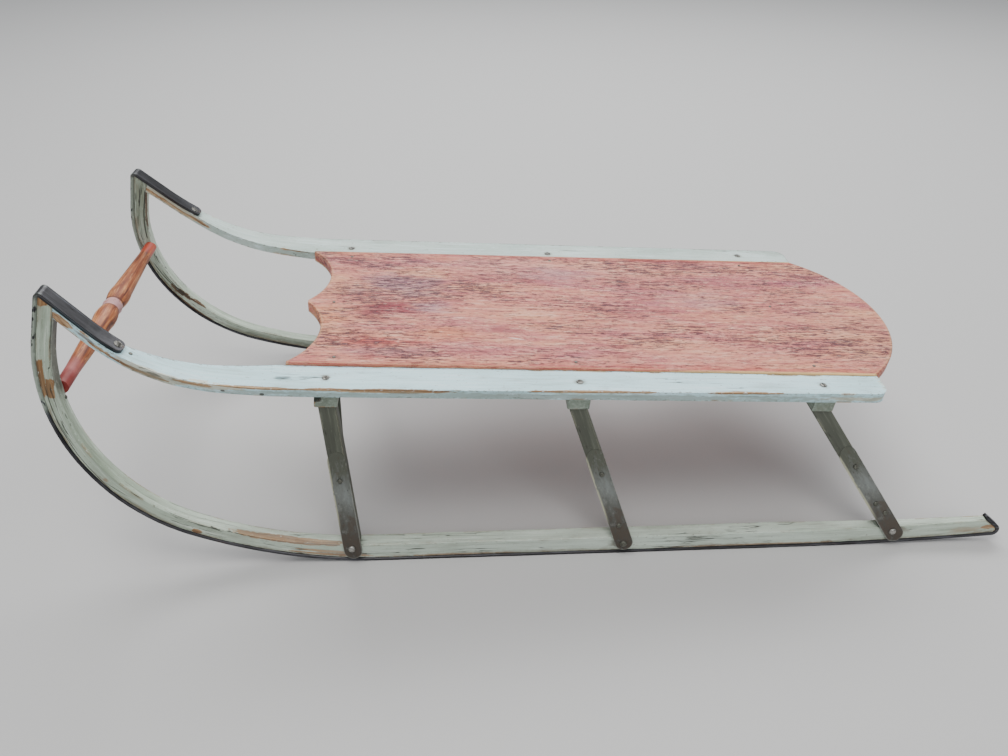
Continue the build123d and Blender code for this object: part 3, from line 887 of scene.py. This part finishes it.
def deckPaint(name, look):
    material, shader, where = freshMaterial(name, "object")
    ragged = plus(cloud(where, (30, 90, 60), 8, 0.68), -0.5)
    drift = cloud(where, (6, 26, 10), 6, 0.66)
    mottle = cloud(where, (52, 150, 90), 8, 0.74, (4, 4, 4))
    colour = coats(ramp(drift, look["base"]), look, [
        (fade(mottle, 0.53, 0.68, 0, 0.55), "crimson"),
        (fade(mottle, 0.48, 0.34, 0, 0.55), "cream"),
    ])
    for patch in look["patches"] + look["mauve"]:
        patch["soft"] = look["patchSoft"]
    colour = stained(colour, where, ragged, look["patches"])
    mauve = patchMask(where, ragged, look["mauve"][0])
    for patch in look["mauve"][1:]:
        mauve = larger(mauve, patchMask(where, ragged, patch))

    # crumbs, streaks, splits and crackle, all along the board
    grit = cloud(where, (110, 270, 180), 8, 0.78, (8, 4, 2))
    streak = cloud(where, (20, 270, 180), 8, 0.78, (2, 3, 4))
    split = cloud(where, (56, 430, 260), 7, 0.76, (5, 1, 2))
    often = fade(cloud(where, (9, 24, 10), 4, 0.6, (1, 9, 3)), 0.36, 0.64)
    fissures = fade(plus(split, times(often, 0.085)), 0.59, 0.62)
    flecks = cloud(where, (130, 640, 420), 3, 0.6, (7, 2, 5))
    flecks = fade(plus(flecks, times(often, 0.07)), 0.62, 0.66)
    chips = fade(cloud(where, (90, 420, 260), 3, 0.6, (2, 8, 1)), 0.37, 0.33)
    cells = put(where.id_data, "Mapping", {"Vector": where, "Scale": (90, 210, 120)})
    cellWall = put(where.id_data, "TexVoronoi", {
        "Vector": cells.outputs[0], "Scale": 1, "Randomness": 1,
    }, feature="DISTANCE_TO_EDGE").outputs["Distance"]
    crackle = times(fade(cellWall, 0.05, 0), fade(drift, 0.42, 0.62))
    colour = coats(colour, look, [
        (times(mauve, 0.8), "mauveTone"),
        (times(times(fade(grit, 0.5, 0.6), mauve), 0.85), "grit"),
        (fade(grit, 0.44, 0.34, 0, 0.45), "cream"),
        (fade(streak, 0.5, 0.64, 0, 0.72), "streakDark"),
        (fade(streak, 0.48, 0.34, 0, 0.6), "streakPale"),
        (times(fissures, 0.92), "fissure"),
        (times(flecks, 0.68), "fissure"),
        (times(chips, 0.55), "streakPale"),
        (times(crackle, 0.45), "crackle"),
    ])

    # the rim: a red line, bare wood on the arris, and a pale line at the very side
    across = unsigned(axes(where)[1])
    redLine = fade(plus(across, times(ragged, 0.03)), 0.106, 0.116, 0, 0.55)
    colour = coats(colour, look, [(redLine, "rimRed")])
    fibre = cloud(where, (8, 420, 420), 6, 0.6, (1, 1, 6))
    worn = fade(plus(arris(where, look["edgeReach"]), times(ragged, 1.2)), 0.36, 0.56, 0, 0.8)
    colour = blend(worn, colour, ramp(fibre, look["wood"]))
    rimLine = fade(plus(across, times(ragged, 0.005)), 0.1168, 0.1182, 0, 0.9)
    colour = coats(colour, look, [(rimLine, "rim")])
    colour = stained(colour, where, ragged, look["nailStains"])
    roughness = fade(streak, 0.3, 0.7, 0.5, 0.68)
    height = weighed((streak, 0.35), (fissures, -0.8), (grit, 0.35),
                     (flecks, -0.6), (crackle, -0.6), (worn, -0.3))
    wireShader(shader, colour, roughness, height, 0.5, 0.75)
    return material


def dress(node, material):
    data = sled[node].data
    data.materials.clear()
    data.materials.append(material)


dress("deck_board", deckPaint("deckPaint", deckLook))
print("deck done")


# Crossbeams
beamLook = {
    **plainWood,
    "paint": [(0.3, (112, 122, 108)), (0.5, (130, 142, 128)), (0.72, (148, 158, 144))],
    "brushTone": (168, 178, 166), "brushDark": (92, 100, 86),
    "edgeReach": 3, "edgePatch": 60, "edgeFrom": 0.42, "seed": 2.2,
    "coordinates": "object", "grainAxis": 1,
}
beamCut = {"ease": 0.6, "segments": 2, "sharpest": 50, "spacing": 11, "cuts": 13,
           "sink": 0.3, "wearScale": 70}
brokenCorner = {"place": (224.5, 147, 177.5), "normal": (0.56, 0.44, 0.7)}
beamPaint = paintedWood("beamPaint", {**beamLook, "stains": [
    # Dark broken wood over the lost corner, deepened with painted shade in the break
    mark((228, 142, 178), (8, 10, 6), 0.8, (44, 40, 31), 0.9, soft=0.3),
    # Painted shadow of the rail, along the top of the front beam's near end
    mark((219, 140, 183), (60, 14, 3), 1, (70, 70, 58), 0.6, soft=0.7),
]})


def addBeam(place):
    bm = copySolid("crossbeam_" + place)
    if place == "front":
        breakCorner(bm)
    easeEdges(bm, beamCut["ease"], beamCut["segments"], sharpest=beamCut["sharpest"])
    for step in range(-beamCut["cuts"], beamCut["cuts"] + 1):
        cutAcross(bm, (0, step * beamCut["spacing"] * mm, 0), (0, 1, 0))
    roughen(bm, beamCut["sink"], beamCut["wearScale"], places.index(place) + 1)
    finishPiece(bm, titled("beamWood", place), ["crossbeam_" + place], beamPaint)


# The front beam's near end has lost its upper front corner
def breakCorner(bm):
    corner = [value * mm for value in brokenCorner["place"]]
    cut = cutAcross(bm, corner, brokenCorner["normal"], clear_outer=True)
    rim = [item for item in cut["geom_cut"] if isinstance(item, bmesh.types.BMEdge)]
    bmesh.ops.holes_fill(bm, edges=rim)


for place in places:
    addBeam(place)
print("crossbeams done")


# Legs with their irons and braces: the foot and the top of each leg's outer face
legLines = {
    "front": ((207.75, 188.21, 20), (219.71, 143.5, 167.46)),
    "middle": ((-67.25, 195.41, 20), (-20.29, 143.5, 152.1)),
    "rear": ((-350.25, 202.82, 20), (-268.29, 143.5, 136.23)),
}
legEase = {"leg": 0.9, "leg_iron": 0.5, "brace": 0.5, "segments": 2, "sharpest": 40}
legLook = {
    **plainWood,
    "paint": [(0.3, (58, 60, 50)), (0.5, (78, 80, 68)), (0.72, (98, 102, 88))],
    "brush": 0.4, "brushTone": (122, 128, 112), "brushDark": (44, 44, 36),
    "wood": [(0.25, (104, 102, 84)), (0.5, (138, 136, 114)), (0.75, (166, 164, 142))],
    "edgeReach": 3.6, "edgePatch": 40, "edgeFrom": 0.4, "primerTone": (150, 152, 134), "seed": 5.1,
    "grime": 0.6, "grimeTone": (54, 52, 42),
}
ironLook = {
    "iron": [(0.28, (84, 86, 79)), (0.5, (108, 111, 106)), (0.74, (134, 139, 136))],
    "worn": (160, 162, 154),
    "frontEdge": (186, 184, 158),
    "head": (80, 82, 71),
    "foot": (60, 54, 47),
    "rust": (78, 66, 54),
    "dark": (46, 43, 38),
    "footTo": 70, "headFrom": (66, 92), "frontFrom": (6.9, 8.7),
    "edgeReach": 1.8, "metal": 0.25,
}


def paintedIron(name, look):
    material, shader, where = freshMaterial(name, "grain")
    drift = cloud(where, (26, 70, 70), 5, 0.62)
    scuffs = cloud(where, (80, 300, 300), 8, 0.74, (5, 2, 1))
    pits = cloud(where, (300, 500, 500), 5, 0.7, (1, 2, 9))
    blotches = cloud(where, (90, 150, 150), 8, 0.72, (3, 3, 3))
    along, ahead, _ = axes(where)
    ragged = plus(scuffs, -0.5)
    foot = fade(along, look["footTo"] * mm, 0)
    low, high = look["headFrom"]
    head = fade(plus(along, times(ragged, 0.1)), low * mm, high * mm)
    rusty = fade(plus(times(foot, 0.14), blotches), 0.56, 0.68)
    edge = plus(arris(where, look["edgeReach"]), times(ragged, 1.6))
    rubbed = times(fade(edge, 0.42, 0.72, 0, 0.65), fade(head, 0.5, 0))
    low, high = look["frontFrom"]
    front = times(fade(ahead, low * mm, high * mm), fade(scuffs, 0.36, 0.46))
    front = times(front, fade(foot, 0.9, 0.4, 0, 0.8))
    colour = coats(ramp(drift, look["iron"]), look, [
        (times(foot, 0.85), "foot"),
        (head, "head"),
        (times(rusty, 0.6), "rust"),
        (fade(blotches, 0.44, 0.32, 0, 0.35), "worn"),
        (fade(scuffs, 0.58, 0.7, 0, 0.6), "worn"),
        (fade(pits, 0.6, 0.7, 0, 0.8), "dark"),
        (rubbed, "worn"),
        (front, "frontEdge"),
    ])
    shader.inputs["Metallic"].default_value = look["metal"]
    roughness = fade(drift, 0.3, 0.7, 0.42, 0.62)
    wireShader(shader, colour, roughness, weighed((scuffs, -0.5), (pits, -0.6)), 0.4, 0.6)
    return material


legPaint = paintedWood("legPaint", legLook)
legIronPaint = paintedIron("legIronPaint", ironLook)


def legReading(place):
    foot, top = (Vector(point) for point in legLines[place])
    way = (top - foot).normalized()
    out = Vector((0, way.z, -way.y)).normalized()
    fore = out.cross(way)

    def reading(point):
        mirrored = Vector((point.x, abs(point.y), point.z)) - foot
        return mirrored.dot(way), mirrored.dot(fore), -mirrored.dot(out)
    return reading


# The iron is hammered thin towards its upper end
ironTop = {"length": 22, "thin": 0.9}


def featherTop(bm, reading):
    top = max(reading(vert.co / mm)[0] for vert in bm.verts)
    outward = Vector(reading(Vector((0, 1, 0)))) - Vector(reading(Vector((0, 0, 0))))
    for vert in bm.verts:
        along, _, depth = reading(vert.co / mm)
        share = 1 - (top - along) / ironTop["length"]
        if share > 0 and depth < 0:
            thinner = depth / outward.z * ironTop["thin"] * share * mm
            vert.co.y -= math.copysign(thinner, vert.co.y)


def addLegPiece(kind, place, side, prefix, material):
    node = f"{kind}_{place}_{side}"
    bm = copySolid(node)
    easeEdges(bm, legEase[kind], legEase["segments"], sharpest=legEase["sharpest"])
    if kind == "leg_iron":
        featherTop(bm, legReading(place))
    layGrain(bm, legReading(place))
    finishPiece(bm, titled(prefix, place, side), [node], material)


for place in places:
    for side in sides:
        addLegPiece("leg", place, side, "legWood", legPaint)
        addLegPiece("leg_iron", place, side, "legStrap", legIronPaint)
        addLegPiece("brace", place, side, "braceIron", legIronPaint)
print("legs done")


# Turned crossbar: worn wood between red ends, and a pale bead
barLook = {
    "wood": [(0.34, (88, 42, 28)), (0.45, (138, 72, 40)),
             (0.55, (172, 102, 58)), (0.66, (208, 148, 96))],
    "paleTone": (214, 160, 112),
    "streakTone": (112, 50, 34),
    "dashTone": (78, 36, 26),
    "redNear": (132, 40, 42),
    "pinkNear": (196, 120, 116),
    "redFar": (176, 62, 44),
    "ringTone": (196, 152, 154),
}


def barPaint(name, look):
    material, shader, where = freshMaterial(name, "object")
    fibre = cloud(where, (300, 13, 300), 6, 0.62)
    blotch = cloud(where, (60, 22, 60), 6, 0.66, (1, 5, 1))
    pale = cloud(where, (500, 40, 500), 5, 0.7, (6, 6, 1))
    dashes = cloud(where, (420, 60, 420), 6, 0.7, (2, 6, 3))
    across = axes(where)[1]
    ragged = plus(cloud(where, (120, 60, 120), 6, 0.66, (9, 1, 1)), -0.5)
    edge = plus(across, times(ragged, 0.03))
    nearEnd = fade(edge, 0.092, 0.12)
    pinkEnd = times(nearEnd, fade(edge, 0.126, 0.112))
    farEnd = fade(edge, -0.108, -0.122)
    fromMiddle = unsigned(across)
    ring = fade(fromMiddle, 0.0062, 0.0054)
    ringKept = fade(cloud(where, (160, 160, 160), 6, 0.66, (2, 7, 7)), 0.62, 0.52)
    besideRing = unsigned(plus(fromMiddle, -0.0072))
    colour = coats(ramp(fibre, look["wood"]), look, [
        (fade(blotch, 0.52, 0.68, 0, 0.62), "streakTone"),
        (fade(pale, 0.56, 0.68, 0, 0.6), "paleTone"),
        (fade(dashes, 0.58, 0.66, 0, 0.65), "dashTone"),
        (times(nearEnd, 0.9), "redNear"),
        (times(pinkEnd, 0.55), "pinkNear"),
        (times(farEnd, 0.85), "redFar"),
        (times(ring, times(ringKept, 0.85)), "ringTone"),
        # Dark lines along the grooves either side of the bead
        (fade(besideRing, 0.0014, 0.0006, 0, 0.7), "dashTone"),
    ])
    wireShader(shader, colour, fade(blotch, 0.3, 0.7, 0.42, 0.6), fibre, 0.4, 0.45)
    return material


dress("crossbar", barPaint("barPaint", barLook))
print("crossbar done")


# Screws, nails, rivets and bolts
steelLooks = {
    "bright": {"steel": [(0.3, (120, 118, 112)), (0.5, (164, 162, 156)), (0.7, (196, 196, 190))],
               "dirt": (58, 50, 42), "metal": 0.85},
    "rail": {"steel": [(0.36, (62, 60, 56)), (0.5, (112, 110, 104)), (0.64, (172, 170, 164))],
             "dirt": (40, 36, 30), "metal": 0.6},
    "dark": {"steel": [(0.3, (62, 62, 54)), (0.5, (86, 86, 76)), (0.7, (116, 116, 104))],
             "dirt": (44, 38, 30), "metal": 0.35},
}


def screwSteel(name, look):
    material, shader, where = freshMaterial(name, "object")
    tarnish = cloud(where, (500, 500, 500), 6, 0.66)
    grit = cloud(where, (900, 900, 900), 4, 0.6, (3, 1, 4))
    colour = coats(ramp(tarnish, look["steel"]), look, [(fade(grit, 0.56, 0.68, 0, 0.7), "dirt")])
    shader.inputs["Metallic"].default_value = look["metal"]
    wireShader(shader, colour, fade(tarnish, 0.3, 0.7, 0.3, 0.55), grit, 0.1, 0.5)
    return material


steels = {kind: screwSteel(kind + "Steel", look) for kind, look in steelLooks.items()}

# Radius and height in millimetres, the top's share of the radius, the rounding, slot and sides
headSizes = {
    "railScrew": (3.3, 1.1, 0.9, 0.4, 0.9, 24),
    "strapScrew": (3.8, 0.6, 0.95, 0.25, 1.1, 24),
    "nail": (1.9, 0.6, 0.8, 0.2, 0, 12),
    "rivet": (2.6, 1, 0.8, 0.7, 0, 16),
    "bolt": (3.8, 2, 0.8, 1.2, 0, 20),
}
headCut = {"segments": 3, "slotDepth": 0.5, "lift": 0.4}  # the last two are shares of the height


# A head that stands on its seat at the origin: slightly tapered, rounded over, and slotted or not
def shapeHead(kind):
    radius, height, taper, rounding, slot, corners = headSizes[kind]
    bm = bmesh.new()
    bmesh.ops.create_cone(
        bm, cap_ends=True, segments=corners, radius1=radius * mm,
        radius2=radius * taper * mm, depth=height * mm)
    rim = [edge for edge in bm.edges if all(vert.co.z > 0 for vert in edge.verts)]
    bevelEdges(bm, rim, rounding, headCut["segments"], False)
    if slot:
        half = slot / 2 * mm
        for edge in (half, -half):
            cutAcross(bm, (0, edge, 0), (0, 1, 0))
        bm.normal_update()
        strip = [face for face in bm.faces
                 if face.normal.z > 0.5 and abs(face.calc_center_median().y) < half]
        grown = bmesh.ops.extrude_face_region(bm, geom=strip)
        floor = [item for item in grown["geom"] if isinstance(item, bmesh.types.BMVert)]
        deep = height * headCut["slotDepth"] * mm
        bmesh.ops.translate(bm, verts=floor, vec=(0, 0, -deep))
    return bm


def addHeads(name, material, rows):
    bm = bmesh.new()
    for kind, place, normal, turn in rows:
        single = shapeHead(kind)
        aim = Vector(normal).to_track_quat("Z", "Y").to_matrix().to_4x4()
        twist = Matrix.Rotation(math.radians(turn), 4, "Z")
        seat = Matrix.Translation(Vector(place) * mm) @ aim @ twist
        lift = Matrix.Translation((0, 0, headSizes[kind][1] * headCut["lift"] * mm))
        bmesh.ops.transform(single, matrix=seat @ lift, verts=single.verts)
        mesh = bpy.data.meshes.new("oneHead")
        single.to_mesh(mesh)
        single.free()
        bm.from_mesh(mesh)
        bpy.data.meshes.remove(mesh)
    finishPiece(bm, name, [], material)


# Level faces that carry heads: height at one place along the sled, slope, and how deep heads sit
railTop = {"x": -21.25, "height": 177, "slope": math.radians(3.46), "sink": 0.5}
deckTop = {"x": -22.0163, "height": 179.0469, "rise": 0.0638596, "run": 0.9979589, "sink": 0.1}
railNormal = Vector((-math.sin(railTop["slope"]), 0, math.cos(railTop["slope"])))
deckNormal = Vector((-deckTop["rise"], 0, deckTop["run"]))
railScrews = {
    "left": [(218.3, 132.8), (-22, 135.3), (-267.3, 136.5)],
    "right": [(216, -127.8), (-22.1, -127.3), (-267.7, -135.6)],
}
screwTurn = {"first": 35, "step": 70}
for side, spots in railScrews.items():
    rows = []
    for number, (x, y) in enumerate(spots):
        z = railTop["height"] + math.tan(railTop["slope"]) * (x - railTop["x"])
        turn = screwTurn["first"] + screwTurn["step"] * number
        rows.append(("railScrew", (x, y, z - railTop["sink"]), railNormal, turn))
    addHeads(titled("railScrews", side), steels["rail"], rows)

deckNails = [(213.3, 103.3), (-22.6, 105.5), (-269.8, 106.1), (223.6, 1.9),
             (-265.1, -9.7), (-260.3, -106.5), (213, -100.5), (-22, -105)]
rows = []
for x, y in deckNails:
    z = deckTop["height"] + (x - deckTop["x"]) * deckTop["rise"] / deckTop["run"]
    rows.append(("nail", (x, y, z - deckTop["sink"]), deckNormal, 0))
addHeads("deckNails", steels["dark"], rows)

# A screw through each strap's end on the rail, and two nails in the near rail
strapScrews = {"left": (390.8, 138.6, 240.8), "right": (391.9, -136.8, 241.8)}
strapSeat = {"normal": (-0.658, 0, 0.753), "turn": 30}
for side, seat in strapScrews.items():
    row = ("strapScrew", seat, strapSeat["normal"], strapSeat["turn"])
    addHeads(titled("strapScrew", side), steels["rail"], [row])
addHeads("nailsLeft", steels["dark"], [
    ("nail", (382.9, 139, 230.7), (-0.55, 0, 0.83), 0),
    ("nail", (451.3, 141.2, 187), (-1, 0, 0.08), 0)])

# Kind of head, its share of the way up the leg, and how far in front of the leg's line it is
legRivets = {
    "front": [("rivet", 0.482, 0)],
    "middle": [("rivet", 0.501, -1.3), ("rivet", 0.101, -0.6)],
    "rear": [("rivet", 0.53, -0.4), ("rivet", 0.22, 1.4), ("rivet", 0.14, -2.5)],
}
footBolts = {"front": (208.3, 17.6), "middle": (-68.5, 13.5), "rear": (-350.7, 18.2)}
ironThickness = 2.6
wallNormal = Vector((runnerWall["toe"], runnerWall["out"], runnerWall["lean"]))
for place in places:
    foot, top = (Vector(point) for point in legLines[place])
    way = top - foot
    out = Vector((0, way.z, -way.y)).normalized()
    for side, sign in sides.items():
        mirrored = Matrix.Diagonal((1, sign, 1))
        rows = []
        for kind, share, ahead in legRivets[place]:
            spot = foot + way * share + out * ironThickness + Vector((ahead, 0, 0))
            rows.append((kind, mirrored @ spot, mirrored @ out, 0))
        addHeads(titled("legRivets", place, side), steels["dark"], rows)
        x, z = footBolts[place]
        reach = runnerWall["halfSpacing"] * runnerWall["out"] - runnerWall["toe"] * x
        reach -= runnerWall["lean"] * z
        spot = Vector((x, reach / runnerWall["out"], z)) + wallNormal * ironThickness
        rows = [("bolt", mirrored @ spot, mirrored @ wallNormal, 0)]
        steel = steels["dark" if place == "middle" else "bright"]
        addHeads(titled("footBolt", place, side), steel, rows)
print("fasteners done")
